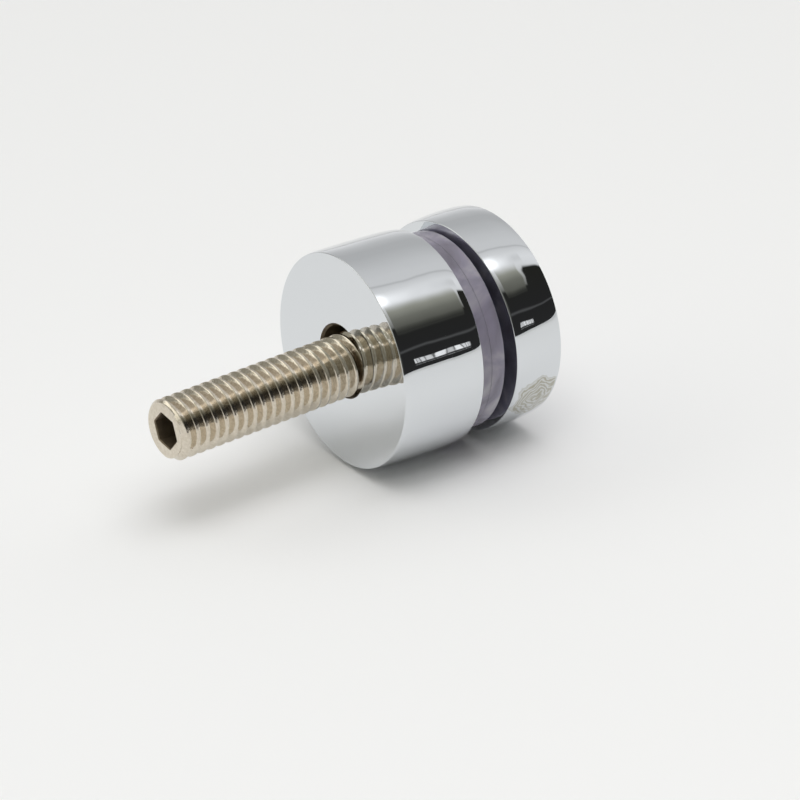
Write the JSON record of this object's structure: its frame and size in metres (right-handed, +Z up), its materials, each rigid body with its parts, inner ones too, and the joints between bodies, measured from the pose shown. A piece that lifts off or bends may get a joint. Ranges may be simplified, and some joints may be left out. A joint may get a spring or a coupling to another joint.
{
  "type": "glass panel standoff",
  "caption": "Glass panel standoff: threaded stud with a hexagon socket, round barrel, two clear gaskets and a screw-on cap that clamps a panel.",
  "frame": {"origin": "on the stud's axis, in the plane of the wall that the barrel's foremost edge touches, where the stud's free thread ends", "axes": "+X along the stud towards the cap and the room, -X into the wall, +Z up"},
  "size_m": [0.0504, 0.0286, 0.0284],
  "materials": {
    "bright_chrome": "mirror polished",
    "stud_steel": "rolled thread, nickel bright",
    "clear_gasket": "soft clear vinyl, faintly violet"
  },
  "bodies": {
    "stud": {"stud": "stud_steel"},
    "barrel_gasket": {"barrel_gasket": "clear_gasket"},
    "barrel": {"barrel": "bright_chrome"},
    "cap_gasket": {"cap_gasket": "clear_gasket"},
    "cap": {"cap": "bright_chrome"}
  },
  "joints": [
    {"name": "barrel_slide", "type": "slide", "parent": "stud", "child": "barrel_gasket", "axis": [-1, 0, 0], "range_m": [0, 0.026]},
    {"name": "barrel_turn", "type": "hinge", "parent": "barrel_gasket", "child": "barrel", "pos_m": [0.0067, 0, 0.0003], "axis": [0.9981, -0.0576, -0.0209], "continuous": true},
    {"name": "cap_travel", "type": "slide", "parent": "stud", "child": "cap_gasket", "axis": [1, 0, 0], "range_m": [0, 0.0055]},
    {"name": "cap_turn", "type": "hinge", "parent": "cap_gasket", "child": "cap", "pos_m": [0.01737, 0, 0], "axis": [1, 0, 0], "range_deg": [0, 1400]}
  ],
  "couplings": [
    {"joint": "cap_travel", "follows": "cap_turn", "m_per_rad": 0.00022457}
  ]
}
